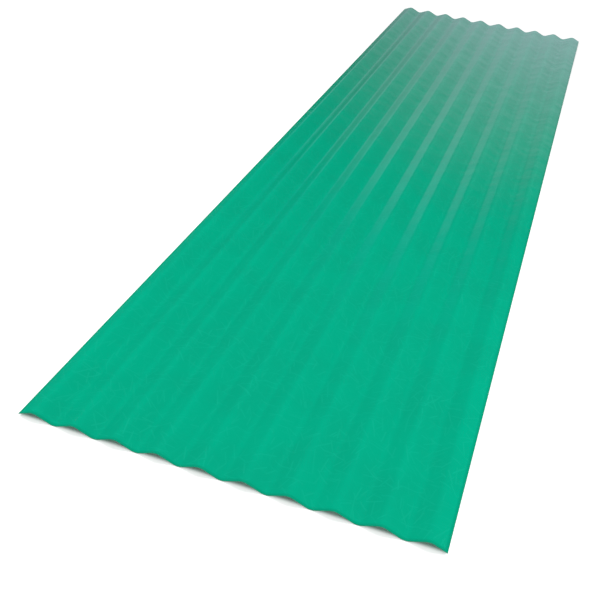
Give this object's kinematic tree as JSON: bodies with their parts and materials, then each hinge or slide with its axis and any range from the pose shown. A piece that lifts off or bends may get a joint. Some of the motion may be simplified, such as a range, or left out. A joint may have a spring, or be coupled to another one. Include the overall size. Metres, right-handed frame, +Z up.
{
  "type": "corrugated fiberglass roof panel",
  "caption": "Long thin roof panel of green glass-fibre laminate with rounded corrugations along its length; its outer corrugations lap over the next panels.",
  "frame": {"origin": "under the middle of the sheet, at the level of the valleys that it rests on", "axes": "+Y along the corrugations, +X across them and +Z up, out of the weather side"},
  "size_m": [0.6604, 2.4384, 0.0127],
  "materials": {
    "green_fiberglass": "satin"
  },
  "bodies": {
    "root": {"corrugated_panel": "green_fiberglass"}
  },
  "joints": []
}
